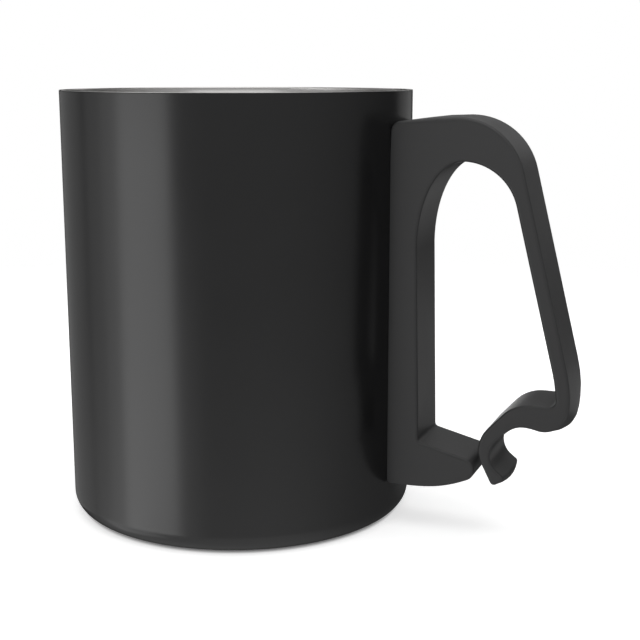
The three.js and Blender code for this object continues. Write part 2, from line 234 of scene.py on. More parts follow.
@dataclass(frozen=True)
class Mottled(Finish):
    """A finish with soft clouds of a second colour and a fine relief. Its sizes are in millimetres."""

    colour: Colour
    cloudy: Colour
    roughness: float
    spread: float  # how much the clouds change the roughness
    cloud: float  # size of the clouds
    detail: float  # finer layers of the clouds
    grain: float  # size of the relief
    depth: float  # height of the relief
    grain_detail: float = 2.0
    grain_spread: float = 0.0  # how much the relief changes the roughness
    metallic: float = 0.0
    shine: float = 0.5  # specular level

    def paint(self, work: NodeWork, place: Value) -> Setting:
        """Socket values of the finish.

        Args:
            work: The material's tree.
            place: Object coordinates.

        Returns:
            Values for the shader.
        """
        cloud = work.noise(place, self.cloud, self.detail)
        grain = work.noise(place, self.grain, self.grain_detail)
        return {
            "Base Color": work.blend(cloud, self.colour, self.cloudy),
            "Metallic": self.metallic,
            "Roughness": cloud.around(self.roughness, self.spread) + grain.around(0.0, self.grain_spread),
            "Specular IOR Level": self.shine,
            "Normal": work.bump(grain, self.depth),
        }


@dataclass(frozen=True)
class BlackCoat(Mottled):
    """Smooth satin-gloss black coat, sprayed on steel, with a faint orange peel."""

    slot: ClassVar[Slot] = Slot.COAT
    colour: Colour = (0.0080, 0.0080, 0.0083)
    cloudy: Colour = (0.0110, 0.0110, 0.0114)
    roughness: float = 0.24
    spread: float = 0.05
    cloud: float = 14.0
    detail: float = 4.0
    grain: float = 1.4
    depth: float = 0.0012


@dataclass(frozen=True)
class MouldedPlastic(Mottled):
    """Black moulded plastic with the fine grain of an eroded mould and a little handling wear."""

    slot: ClassVar[Slot] = Slot.PLASTIC
    colour: Colour = (0.044, 0.044, 0.0445)
    cloudy: Colour = (0.050, 0.050, 0.0505)
    roughness: float = 0.45
    spread: float = 0.08
    cloud: float = 9.0
    detail: float = 5.0
    grain: float = 0.32
    depth: float = 0.0009
    grain_detail: float = 1.0
    grain_spread: float = 0.08
    shine: float = 0.3


@dataclass(frozen=True)
class ZincPlate(Mottled):
    """Zinc-plated steel with a cloudy, slightly bluish film."""

    slot: ClassVar[Slot] = Slot.ZINC
    colour: Colour = (0.44, 0.45, 0.47)
    cloudy: Colour = (0.56, 0.57, 0.59)
    roughness: float = 0.3
    spread: float = 0.2
    cloud: float = 2.2
    detail: float = 4.0
    grain: float = 0.2
    depth: float = 0.002
    metallic: float = 1.0


@dataclass(frozen=True)
class BrushedSteel(Finish):
    """Bare steel, brushed while it turned, so that its scratches run round the axis."""

    slot: ClassVar[Slot] = Slot.STEEL
    bright: Colour = (0.70, 0.69, 0.68)
    dull: Colour = (0.60, 0.59, 0.58)
    roughness: float = 0.27
    spread: float = 0.1  # how much the scratches change the roughness
    scratch: float = 0.14  # width of a scratch
    sweep: float = 1.6  # how often a scratch starts anew on its way round
    detail: float = 3.0
    depth: float = 0.002

    def paint(self, work: NodeWork, place: Value) -> Setting:
        """Socket values of the steel.

        Args:
            work: The material's tree.
            place: Object coordinates.

        Returns:
            Values for the shader.
        """
        x = work.add("ShaderNodeSeparateXYZ", {"Vector": place})
        y = x.other("Y")
        z = x.other("Z")
        reach = (x * x + y * y + TINY * TINY).math("SQRT")
        fine = 1 / (self.scratch * MM)
        turned = {"X": x / reach * self.sweep, "Y": y / reach * self.sweep, "Z": z * fine}
        along = work.add("ShaderNodeCombineXYZ", turned)
        streaks = {"Vector": along, "W": reach * fine, "Scale": 1.0, "Detail": self.detail}
        streak = work.add("ShaderNodeTexNoise", streaks, {"noise_dimensions": "4D"})
        return {
            "Base Color": work.blend(streak, self.dull, self.bright),
            "Metallic": 1.0,
            "Roughness": streak.around(self.roughness, self.spread),
            "Normal": work.bump(streak, self.depth),
        }


def on_circle(centre: complex, radius: float, angle: float) -> complex:
    """The point of a circle at an angle in radians."""
    return centre + cmath.rect(radius, angle)


def along_circle(angle: float) -> complex:
    """The way along a circle at an angle, turning left."""
    return 1j * cmath.rect(1.0, angle)


def on_line(normal: complex, offset: float, height: float) -> complex:
    """The point at a height on a line that is given by its normal and its offset along it."""
    return complex((offset - height * normal.imag) / normal.real, height)


def dot(first: complex, second: complex) -> float:
    """How far one direction goes along another."""
    return (first * second.conjugate()).real


def clamp(number: float) -> float:
    """The number, kept between 0 and 1."""
    return max(0.0, min(1.0, number))


class Outline:
    """A line in a side view, whose points are complex numbers: outwards and upwards, in millimetres."""

    ARC_STEP = math.radians(5)
    RUN_STEP = 1.5
    CURVE_STEPS = 18
    GUARD = 0.12  # points this close to both ends of a straight run keep its shading flat

    def __init__(self, start: complex, edge: float = 0.0) -> None:
        """Starts the line.

        Args:
            start: Its first point.
            edge: Rounding of the edges along it, until another is set.
        """
        self.points = [start]
        self.edges = [edge]
        self.edge = edge

    def add(self, point: complex) -> None:
        """Adds a point, unless the line is there already."""
        if abs(point - self.points[-1]) > TINY:
            self.points.append(point)
            self.edges.append(self.edge)

    def run(self, *ends: complex) -> None:
        """Goes straight from point to point.

        Args:
            ends: Where each straight run ends.
        """
        for end in ends:
            start = self.points[-1]
            length = abs(end - start)
            inner = length - 2 * self.GUARD
            if inner > self.GUARD:
                along = (end - start) / length
                steps = math.ceil(inner / self.RUN_STEP)
                for step in range(steps + 1):
                    self.add(start + along * (self.GUARD + inner * step / steps))
            self.add(end)

    def ellipse(self, centre: complex, radii: tuple[float, float], start: float, end: float) -> None:
        """Goes straight to an ellipse and along it.

        Args:
            centre: Its centre.
            radii: Its reach outwards and upwards.
            start: Angle where the line joins it, in radians.
            end: Angle where the line leaves it.
        """
        steps = max(2, math.ceil(abs(end - start) / self.ARC_STEP))
        for step in range(steps + 1):
            angle = start + (end - start) * step / steps
            point = centre + complex(radii[0] * math.cos(angle), radii[1] * math.sin(angle))
            if step:
                self.add(point)
            else:
                self.run(point)

    def arc(self, centre: complex, radius: float, start: float, end: float) -> None:
        """Goes straight to a circle and along it, from one angle to another."""
        self.ellipse(centre, (radius, radius), start, end)

    def curve(self, leave: complex, arrive: complex, end: complex) -> None:
        """Goes along a free curve.

        Args:
            leave: Point that the curve starts towards.
            arrive: Point that the curve comes from at its end.
            end: Its end.
        """
        start = self.points[-1]
        for step in range(1, self.CURVE_STEPS + 1):
            t = step / self.CURVE_STEPS
            near = start * (1 - t) ** 3 + 3 * leave * t * (1 - t) ** 2
            self.add(near + 3 * arrive * t**2 * (1 - t) + end * t**3)

    def corner(self, corner: complex, ahead: complex, radius: float) -> None:
        """Goes straight to a rounded corner and round it.

        Args:
            corner: Where the straight runs would meet.
            ahead: A point on the run after the corner.
            radius: Its rounding.
        """
        back = (self.points[-1] - corner) / abs(self.points[-1] - corner)
        forth = (ahead - corner) / abs(ahead - corner)
        half = math.acos(max(-1.0, min(1.0, dot(back, forth)))) / 2
        middle = corner + (back + forth) / abs(back + forth) * radius / math.sin(half)
        start = cmath.phase(corner + back * radius / math.tan(half) - middle)
        turn = math.pi - 2 * half
        left = (back.conjugate() * forth).imag < 0
        self.arc(middle, radius, start, start + (turn if left else -turn))

    def normals(self) -> list[complex]:
        """Directions square to the line, which is closed on itself.

        Returns:
            A direction for each point, on the left of the line.
        """
        count = len(self.points)
        found = []
        for i, point in enumerate(self.points):
            before = point - self.points[i - 1]
            after = self.points[(i + 1) % count] - point
            way = before / abs(before) + after / abs(after)
            found.append(1j * way / abs(way))
        return found

    def soft_edges(self, reach: float) -> list[float]:
        """Edge roundings that change gently along the closed line.

        Args:
            reach: Length over which a change is spread, in millimetres.

        Returns:
            A rounding for each point.
        """
        count = len(self.points)
        gaps = [abs(self.points[(i + 1) % count] - self.points[i]) for i in range(count)]
        places = [sum(gaps[:i]) for i in range(count)]
        total = sum(gaps)
        soft = []
        for place in places:
            weights = []
            for i, other in enumerate(places):
                apart = abs(place - other)
                near = clamp(1 - min(apart, total - apart) / reach)
                weights.append(near * (gaps[i] + gaps[i - 1]))
            soft.append(sum(w * e for w, e in zip(weights, self.edges)) / sum(weights))
        return soft


def mesh_object(
    name: str,
    points: Sequence[Point],
    edges: Sequence[Sequence[int]],
    faces: Sequence[Sequence[int]],
) -> bpy.types.Object:
    """Makes an object.

    Args:
        name: Its name.
        points: Corners in millimetres.
        edges: Loose edges.
        faces: Corners of each face.

    Returns:
        The object, linked to the scene.
    """
    mesh = bpy.data.meshes.new(name)
    mesh.from_pydata([[MM * c for c in point] for point in points], edges, faces)
    made = bpy.data.objects.new(name, mesh)
    bpy.context.scene.collection.objects.link(made)
    return made


def settle(made: bpy.types.Object) -> None:
    """Turns an object with its modifiers into a plain closed mesh with outward faces.

    Args:
        made: The object.
    """
    bpy.context.view_layer.update()
    graph = bpy.context.evaluated_depsgraph_get()
    mesh = bpy.data.meshes.new_from_object(made.evaluated_get(graph), depsgraph=graph)
    made.modifiers.clear()
    made.data = mesh
    mesh.name = made.name
    shape = bmesh.new()
    shape.from_mesh(mesh)
    bmesh.ops.recalc_face_normals(shape, faces=shape.faces)
    shape.to_mesh(mesh)
    shape.free()
    mesh.shade_smooth()
    mesh.set_sharp_from_angle(angle=SHARP)


def cut(made: bpy.types.Object, cutters: Sequence[bpy.types.Object]) -> None:
    """Takes the cutters' volumes out of an object and deletes the cutters.

    Args:
        made: The object, which becomes a plain mesh.
        cutters: Closed solids.
    """
    for cutter in cutters:
        modifier = made.modifiers.new(cutter.name, "BOOLEAN")
        modifier.operation = "DIFFERENCE"
        modifier.solver = "EXACT"
        modifier.object = cutter
    settle(made)
    for cutter in cutters:
        bpy.data.objects.remove(cutter)


def prism(name: str, first: Sequence[Point], second: Sequence[Point]) -> bpy.types.Object:
    """A closed solid between two rings of corners.

    Args:
        name: The object's name.
        first: One ring, in millimetres.
        second: The other ring, with as many corners in the same order.

    Returns:
        The solid.
    """
    count = len(first)
    ends = [tuple(range(count)), tuple(range(count, 2 * count))]
    sides = [(i, (i + 1) % count, count + (i + 1) % count, count + i) for i in range(count)]
    made = mesh_object(name, [*first, *second], [], [*ends, *sides])
    settle(made)
    return made


def slab(name: str, outline: Sequence[tuple[float, float]], width: float) -> bpy.types.Object:
    """A straight slab across the middle plane, from corners in the side view, in millimetres."""
    faces = [[(out, side * width / 2, up) for out, up in outline] for side in (-1, 1)]
    return prism(name, *faces)


class ShapeTree:
    """Geometry Nodes with named inputs, which make one finished piece."""

    def __init__(self, name: str, sizes: Mapping[str, str]) -> None:
        """Starts the tree.

        Args:
            name: Its name.
            sizes: The kind of each size that it takes, by the size's name.
        """
        self.tree = bpy.data.node_groups.new(name, "GeometryNodeTree")
        self.names: dict[str, str] = {}
        for label, kind in {"Start": "Geometry", **sizes, "Finish": "Material"}.items():
            socket = self.tree.interface.new_socket(label, in_out="INPUT", socket_type="NodeSocket" + kind)
            self.names[label] = socket.identifier
        self.tree.interface.new_socket("Piece", in_out="OUTPUT", socket_type="NodeSocketGeometry")
        self.work = NodeWork(self.tree)
        self.start = self.work.add("NodeGroupInput", output="Start")

    def close(self, shape: Value) -> None:
        """Ends the tree.

        Args:
            shape: What it has made, which gets the finish.
        """
        real = self.work.add("GeometryNodeRealizeInstances", {"Geometry": shape})
        dressed = {"Geometry": real, "Material": self.start.other("Finish")}
        piece = self.work.add("GeometryNodeSetMaterial", dressed)
        self.work.add("NodeGroupOutput", {"Piece": piece})

    def apply(self, made: bpy.types.Object, finish: bpy.types.Material, sizes: Mapping[str, float]) -> None:
        """Runs the tree on an object and makes the result a plain mesh.

        Args:
            made: The object.
            finish: Its material.
            sizes: The tree's sizes, by name.
        """
        modifier = made.modifiers.new(self.tree.name, "NODES")
        modifier.node_group = self.tree
        for label, given in {**sizes, "Finish": finish}.items():
            modifier[self.names[label]] = given
        settle(made)


class Turning(ShapeTree):
    """Geometry Nodes that turn a line of points round the Z axis into a closed piece."""

    def __init__(self) -> None:
        """Builds the tree."""
        super().__init__("turned_piece", {"Steps": "Int"})
        work = self.work
        line = self.start
        count = work.add("GeometryNodeAttributeDomainSize", {"Geometry": line}, {"component": "MESH"})
        # A sheet of 1 by 1 about its middle: one side becomes the way round, the other follows the line
        grid = {"Size X": 1.0, "Size Y": 1.0, "Vertices X": line.other("Steps") + 1, "Vertices Y": count}
        sheet = work.add("GeometryNodeMeshGrid", grid)
        spot = work.add("GeometryNodeInputPosition")
        across = work.add("ShaderNodeSeparateXYZ", {"Vector": spot})
        angle = (across + 0.5) * math.tau
        row = (across.other("Y") + 0.5) * (count - 1)
        sampled = {"Geometry": line, "Value": spot, "Index": row.math("ROUND")}
        vectors = {"data_type": "FLOAT_VECTOR", "domain": "POINT"}
        point = work.add("GeometryNodeSampleIndex", sampled, vectors)
        reach = work.add("ShaderNodeSeparateXYZ", {"Vector": point})
        turned = {
            "X": reach * angle.math("COSINE"),
            "Y": reach * angle.math("SINE"),
            "Z": reach.other("Z"),
        }
        place = work.add("ShaderNodeCombineXYZ", turned)
        moved = work.add("GeometryNodeSetPosition", {"Geometry": sheet, "Position": place})
        self.close(work.add("GeometryNodeMergeByDistance", {"Geometry": moved, "Distance": TINY}))

    def turn(
        self, name: str, line: Outline, steps: int, finish: bpy.types.Material, closed: bool
    ) -> bpy.types.Object:
        """Turns an outline of radius and height.

        Args:
            name: The piece's name.
            line: Its outline, from axis to axis or closed on itself.
            steps: Flats round the axis.
            finish: Its material.
            closed: Whether the line comes back to its first point.

        Returns:
            The piece as a plain mesh.
        """
        points = [(p.real, 0.0, p.imag) for p in line.points]
        if closed:
            points.append(points[0])
        edges = [(i, i + 1) for i in range(len(points) - 1)]
        made = mesh_object(name, points, edges, [])
        self.apply(made, finish, {"Steps": steps})
        return made


@dataclass
class Cup:
    """The double-wall cup: coated shell, bare liner with its lip, and the pan that closes the base."""

    turning: Turning
    coat: bpy.types.Material
    steel: bpy.types.Material
    sheet: float = 0.5
    corner: float = 3.5  # bottom corner of the shell
    liner_corner: float = 6.0
    ledge: float = 5.0  # flat ring of the shell that carries the pan
    air_gap: float = 3.5
    sheet_fit: float = 0.1
    lip: float = 0.08  # bare steel over the shell's edge
    lip_gap: float = 0.02
    flare: float = 6.0  # where the liner widens to meet the shell
    pan_fit: float = 0.3
    pan_bend: float = 0.35  # press radius of the pan
    edge: float = 0.2  # rounding of a sheet's edge under the coat
    steps: int = 240

    def __post_init__(self) -> None:
        """Takes the main sizes from the frame."""
        self.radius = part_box("outer_shell")[1].x / MM
        low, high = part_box("inner_cup")
        self.floor = low.z / MM
        self.top = high.z / MM
        self.lip_under = self.top - self.lip

    def shell(self) -> bpy.types.Object:
        """Turns the coated tube with its round bottom corner and inward ledge.

        Returns:
            The shell.
        """
        inside = self.radius - self.sheet
        bend = self.radius - self.corner
        opening = bend - self.ledge
        top = self.lip_under - self.lip_gap
        centre = complex(bend, self.corner)
        line = Outline(complex(opening, self.sheet / 2))
        line.corner(complex(opening, 0), complex(bend, 0), self.edge)
        line.arc(centre, self.corner, -QUARTER, 0)
        line.corner(complex(self.radius, top), complex(inside, top), self.lip)
        line.corner(complex(inside, top), complex(inside, self.corner), self.lip)
        line.arc(centre, self.corner - self.sheet, 0, -QUARTER)
        line.corner(complex(opening, self.sheet), line.points[0], self.edge)
        return self.turning.turn("coated_shell", line, self.steps, self.coat, True)

    def pan(self) -> bpy.types.Object:
        """Turns the pressed pan that lies on the ledge and comes down level with it.

        Returns:
            The pan.
        """
        outside = self.radius - self.corner - self.ledge - self.pan_fit
        inside = outside - self.sheet
        flange = self.radius - self.corner
        under = self.sheet + self.sheet_fit
        over = under + self.sheet
        line = Outline(0j)
        line.corner(complex(outside, 0), complex(outside, under), self.pan_bend)
        line.run(complex(outside, under), complex(flange, under), complex(flange, over))
        line.corner(complex(inside, over), complex(inside, self.sheet), self.edge)
        line.run(complex(inside, self.sheet), complex(0, self.sheet))
        return self.turning.turn("base_pan", line, self.steps, self.coat, False)

    def liner(self) -> bpy.types.Object:
        """Turns the bare liner: round corner, straight wall, flare and the lip over the shell's edge.

        Returns:
            The liner.
        """
        neck = self.radius - self.sheet - self.sheet_fit
        throat = neck - self.sheet
        outside = self.radius - self.sheet - self.air_gap
        inside = outside - self.sheet
        flare_foot = self.lip_under - self.flare
        middle = self.lip_under - self.flare / 2
        bend = complex(outside - self.liner_corner, self.floor + self.liner_corner)
        line = Outline(complex(0, self.floor))
        line.arc(bend, self.liner_corner, -QUARTER, 0)
        line.run(complex(outside, flare_foot))
        line.curve(complex(outside, middle), complex(neck, middle), complex(neck, self.lip_under))
        lip_round = self.lip / 2
        line.arc(complex(self.radius - lip_round, self.lip_under + lip_round), lip_round, -QUARTER, QUARTER)
        line.arc(complex(throat + self.edge, self.top - self.edge), self.edge, QUARTER, 2 * QUARTER)
        line.run(complex(throat, self.lip_under - self.edge))
        line.curve(complex(throat, middle), complex(inside, middle), complex(inside, flare_foot))
        line.arc(bend, self.liner_corner - self.sheet, 0, -QUARTER)
        line.run(complex(0, self.floor + self.sheet))
        return self.turning.turn("steel_liner", line, self.steps, self.steel, False)

    def build(self) -> None:
        """Builds the three pieces and puts them on the frame."""
        place(self.shell(), Body.MUG, Slot.COAT, "outer_shell")
        place(self.pan(), Body.MUG, Slot.COAT, "base_plate")
        place(self.liner(), Body.MUG, Slot.STEEL, "inner_cup")


@dataclass
class Handle:
    """The carabiner moulding: a fixed body on the cup and a springy leg with heel, hook and finger tail."""

    plastic: bpy.types.Material
    crown_radius: float = 53.5  # top face, from the shell to the shoulder
    crown_reach: float = 12.0  # from the shell to the shoulder's centre
    crown_depth: float = 8.2  # from the crown to the finger hole
    shoulder_radius: float = 13.1
    hole_radius: float = 10.5  # finger hole under the shoulder
    arch_rise: float = 16.5  # finger hole beside the strip
    strip_top: float = 4.7  # strip along the cup, under the arch
    strip_foot: float = 5.6  # strip along the cup, at the stub
    leg: float = 2.7  # thickness of the leg
    stub_height: float = 9.1  # inner corner of strip and stub
    stub_corner: float = 0.8
    nose: complex = 14.55 + 4.5j  # centre of the stub's round nose
    nose_radius: float = 2.3
    foot_flat: float = 4.1  # level stretch of the underside, next to the shell
    foot_sweep: float = 4.4  # how far that level carries into the curve
    mouth: float = 0.7  # between nose and hook
    hook_radius: float = 6.15
    hook_wall: float = 2.25
    hook_drop: float = 0.9  # inside of the hook sits lower, which thickens its neck
    hook_rise: float = 4.35  # hook above the nose
    tail_length: float = 2.4  # upper side of the finger tail
    tail_drop: float = 4.7  # lower side of the finger tail
    tail_round: float = 0.75
    tail_crown: float = 0.7  # how far the tail's end bulges in the middle
    bridge: complex = 6.4 + 9.15j  # from hook to heel
    bridge_thickness: float = 5.1
    bridge_radius: float = 7.5
    heel_radius: float = 4.6
    heel_corner: float = 1.3
    heel_crown: float = 1.4  # how far the heel bulges in the middle of its width
    heel_tuck: float = 0.6  # how far its two faces are drawn in
    heel_aim: float = math.radians(-45)  # where it bulges most
    shin_radius: float = 32.0  # where the leg bows upright into the heel
    pull: float = 4.2  # reach of the free curves
    seam_drop: float = 8.0  # where the leg is parted from the body, below the shoulder
    bend_length: float = 20.0  # stretch of the leg that bends
    saddle_gap: float = 0.01
    saddle_corner: float = 1.9  # where crown and shell meet
    foot_corner: float = 0.8  # where the strip ends
    saddle_edge: float = 0.06
    saddle_depth: float = 1.0  # this far from the shell, rows across the width follow its curve
    saddle_blend: float = 3.0  # and this much further out they are straight
    crown_edge: float = 1.3
    leg_edge: float = 0.55
    thin_edge: float = 0.52
    edge_blend: float = 9.0  # length over which an edge's rounding changes
    edge_steps: int = 6
    flat_rows: tuple[float, ...] = (1.0, 0.6, 0.2)  # rows of the flat between the edges
    heel_end: float = math.radians(-106)
    neck_angle: float = math.radians(137.5)
    tail_top: float = math.radians(232)
    tail_under: float = math.radians(207)
    nose_under: float = math.radians(-65)

    def __post_init__(self) -> None:
        """Takes the handle's place and size from the frame and works out its main centres."""
        low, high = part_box("handle_frame")
        self.foot = low.z / MM
        self.height = high.z / MM - self.foot
        self.width = (high.y - low.y) / MM
        self.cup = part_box("outer_shell")[1].x / MM
        self.hook = self.nose + complex(self.nose_radius + self.mouth + self.hook_radius, self.hook_rise)
        self.heel = self.hook + self.bridge
        self.shin = self.heel + self.heel_radius - self.shin_radius
        self.shoulder = complex(self.crown_reach, self.height - self.shoulder_radius)
        span = self.shin - self.shoulder
        taper = math.asin((self.shoulder_radius - self.shin_radius) / abs(span))
        self.lean = math.atan2(span.real, -span.imag) - taper
        self.leg_out = cmath.rect(1.0, self.lean)
        self.leg_down = -along_circle(self.lean)
        self.leg_inside = dot(self.shoulder, self.leg_out) + self.shoulder_radius - self.leg
        self.seam = on_circle(self.shoulder, self.shoulder_radius, self.lean) + self.leg_down * self.seam_drop

    def outline(self) -> tuple[Outline, int, int]:
        """Draws the moulding clockwise, from the saddle over the crown and back.

        Returns:
            The line, and the numbers of the points where the seam crosses the leg outside and inside.
        """
        crown = complex(self.crown_reach, self.height - self.crown_radius)
        saddle = self.crown_reach - self.saddle_gap - 2 * self.saddle_corner
        start = QUARTER + math.asin(saddle / self.crown_radius)
        line = Outline(on_circle(crown, self.crown_radius, start), self.crown_edge)
        line.arc(crown, self.crown_radius, start, QUARTER)
        line.edge = self.leg_edge
        line.arc(self.shoulder, self.shoulder_radius, QUARTER, self.lean)
        line.run(self.seam)
        outside = len(line.points) - 1
        line.arc(self.shin, self.shin_radius, self.lean, 0.0)
        line.arc(self.heel, self.heel_radius, 0.0, self.heel_end)
        line.edge = self.thin_edge

        hollow = self.hook - 1j * self.hook_drop
        hollow_radius = self.hook_radius - self.hook_wall
        neck_end = on_circle(hollow, hollow_radius, self.neck_angle)
        leave = line.points[-1] - self.pull * along_circle(self.heel_end)
        line.curve(leave, neck_end - self.pull * along_circle(self.neck_angle), neck_end)
        line.arc(hollow, hollow_radius, self.neck_angle, self.tail_top)
        tail_end = line.points[-1] + self.tail_length * along_circle(self.tail_top)
        hook_foot = on_circle(self.hook, self.hook_radius, self.tail_under)
        tail_tip = hook_foot + self.tail_drop * along_circle(self.tail_under)
        line.corner(tail_end, tail_tip, self.tail_round)
        line.corner(tail_tip, hook_foot, self.tail_round)
        line.arc(self.hook, self.hook_radius, self.tail_under, self.neck_angle)

        bridge_top = self.heel.imag - self.heel_radius + self.bridge_thickness
        neck_out = cmath.rect(1.0, self.neck_angle)
        neck_offset = dot(self.hook, neck_out) + self.hook_radius - self.bridge_radius
        bridge = on_line(neck_out, neck_offset, bridge_top - self.bridge_radius)
        line.arc(bridge, self.bridge_radius, self.neck_angle, QUARTER)
        shin_inside = self.shin_radius - self.leg
        reach = shin_inside - self.heel_corner
        turn = math.asin((bridge_top + self.heel_corner - self.shin.imag) / reach)
        line.arc(on_circle(self.shin, reach, turn), self.heel_corner, -QUARTER, turn)
        line.arc(self.shin, shin_inside, turn, self.lean)
        line.run(self.seam - self.leg_out * self.leg)
        inside = len(line.points) - 1

        hole_top = self.height - self.crown_depth
        hole = on_line(self.leg_out, self.leg_inside - self.hole_radius, hole_top - self.hole_radius)
        line.arc(hole, self.hole_radius, self.lean, QUARTER)
        arch = (hole.real - self.strip_top, self.arch_rise)
        line.ellipse(complex(hole.real, hole_top - self.arch_rise), arch, QUARTER, 2 * QUARTER)
        root = complex(self.strip_foot, self.stub_height)
        slope = cmath.phase(self.nose - root) + math.asin(self.nose_radius / abs(self.nose - root))
        line.corner(root, on_circle(self.nose, self.nose_radius, slope + QUARTER), self.stub_corner)
        line.arc(self.nose, self.nose_radius, slope + QUARTER, self.nose_under)
        leave = line.points[-1] - self.pull * along_circle(self.nose_under)
        line.curve(leave, complex(self.foot_flat + self.foot_sweep, 0), complex(self.foot_flat, 0))

        line.edge = self.saddle_edge
        way = -along_circle(start)
        rise = (line.points[0].real - self.saddle_gap) / way.real
        top = line.points[0] - way * rise
        line.corner(complex(self.saddle_gap, 0), top, self.foot_corner)
        line.corner(top, line.points[0], self.saddle_corner)
        return line, outside, inside

    def across(self, edge: float) -> list[tuple[float, float]]:
        """Rows from one face to the other at a point of the outline.

        Args:
            edge: Rounding of both edges there.

        Returns:
            How far each row lies inside the outline, and its place across the width.
        """
        half = self.width / 2
        rows = [(edge + Outline.GUARD, half)]
        for step in range(self.edge_steps + 1):
            turn = QUARTER * step / self.edge_steps
            rows.append((edge * (1 - math.sin(turn)), half - edge * (1 - math.cos(turn))))
        flat = half - edge - Outline.GUARD
        rows += [(0.0, part * flat) for part in self.flat_rows]
        return rows + [(inset, -side) for inset, side in reversed(rows)]

    def shaped(self, point: complex, side: float) -> Point:
        """A point of a row in the frame, seated on the round cup and crowned at the heel and the tail's end.

        Args:
            point: Its place in the side view.
            side: Its place across the width.

        Returns:
            The point in millimetres.
        """
        seat = math.sqrt(self.cup**2 - side**2) - self.cup
        near = clamp(1 - (point.real - self.saddle_depth) / self.saddle_blend)
        tail_way = along_circle(self.tail_top)
        tail_root = on_circle(self.hook, self.hook_radius, self.tail_top)
        out = clamp(dot(point - tail_root, tail_way) / self.tail_length)
        low = point.imag < self.hook.imag - self.hook_radius / 2
        middle = 1 - (2 * side / self.width) ** 2
        crown = self.tail_crown * out * middle if low else 0.0
        heel_way = cmath.rect(1.0, self.heel_aim)
        arm = (point - self.heel) / self.heel_radius
        full = max(0.0, dot(arm, heel_way)) * clamp(2 - abs(arm))
        bulge = full**2 * (self.heel_crown * middle - self.heel_tuck)
        moved = point + seat * near + tail_way * crown + heel_way * bulge
        return self.cup + moved.real, side, self.foot + moved.imag

    def skin(self, name: str, numbers: Sequence[int], line: Outline) -> bpy.types.Object:
        """A closed piece of the moulding, between the two ends of a stretch of its outline.

        Args:
            name: The piece's name.
            numbers: Points of the outline, in order.
            line: The whole outline.

        Returns:
            The piece.
        """
        normals = line.normals()
        edges = line.soft_edges(self.edge_blend)
        columns = []
        for number in numbers:
            spot = line.points[number]
            out = normals[number]
            across = self.across(edges[number])
            columns.append([self.shaped(spot - out * inset, side) for inset, side in across])
        count = len(columns)
        rows = len(columns[0])
        points = [columns[c][r] for r in range(rows) for c in range(count)]
        faces = []
        for r in range(rows - 1):
            for c in range(count - 1):
                near = r * count + c
                faces.append((near, near + 1, near + count + 1, near + count))
        faces.append(tuple(range(count)))
        faces.append(tuple(range((rows - 1) * count, rows * count)))
        first = [r * count for r in range(rows)]
        last = [r * count + count - 1 for r in reversed(range(rows))]
        faces.append(tuple(first + last))
        made = mesh_object(name, points, [], faces)
        made.data.materials.append(self.plastic)
        settle(made)
        return made

    def build(self, pockets: Sequence[bpy.types.Object]) -> None:
        """Builds the fixed body and the springy leg.

        Args:
            pockets: Solids to take out of the body for the fixings.
        """
        line, outside, inside = self.outline()
        count = len(line.points)
        body = self.skin("handle_body", [i % count for i in range(inside, count + outside + 1)], line)
        cut(body, pockets)
        place(body, Body.MUG, Slot.PLASTIC, "handle_frame")
        leg = self.skin("springy_leg", list(range(outside, inside + 1)), line)
        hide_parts("spring_arm")
        start = self.seam + self.leg_down * Outline.GUARD
        end = start + self.leg_down * self.bend_length
        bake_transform(leg)
        LOG.info("%s bends between %s and %s", leg.name, Body.MUG.value, Body.ARM.value)


class Threading(ShapeTree):
    """Geometry Nodes that wind a thread round a screw."""

    def __init__(self, steps: int, ridge_sides: int) -> None:
        """Builds the tree.

        Args:
            steps: Points on each turn.
            ridge_sides: Sides of the ridge's section.
        """
        super().__init__("screw_thread", dict.fromkeys(("Core", "Ridge", "Pitch", "Foot", "Length"), "Float"))
        work = self.work
        screw = self.start
        core = screw.other("Core")
        length = screw.other("Length")
        coil = {
            "Resolution": steps,
            "Rotations": length / screw.other("Pitch"),
            "Start Radius": core,
            "End Radius": core,
            "Height": length,
        }
        spiral = work.add("GeometryNodeCurveSpiral", coil)
        section = {"Resolution": ridge_sides, "Radius": screw.other("Ridge")}
        ridge = work.add("GeometryNodeCurvePrimitiveCircle", section)
        swept = {"Curve": spiral, "Profile Curve": ridge, "Fill Caps": True}
        wound = work.add("GeometryNodeCurveToMesh", swept)
        lift = work.add("ShaderNodeCombineXYZ", {"Z": screw.other("Foot")})
        raised = work.add("GeometryNodeTransform", {"Geometry": wound, "Translation": lift})
        both = work.add("GeometryNodeJoinGeometry", {"Geometry": screw})
        self.tree.links.new(raised.socket, both.socket.node.inputs["Geometry"])
        self.close(both)


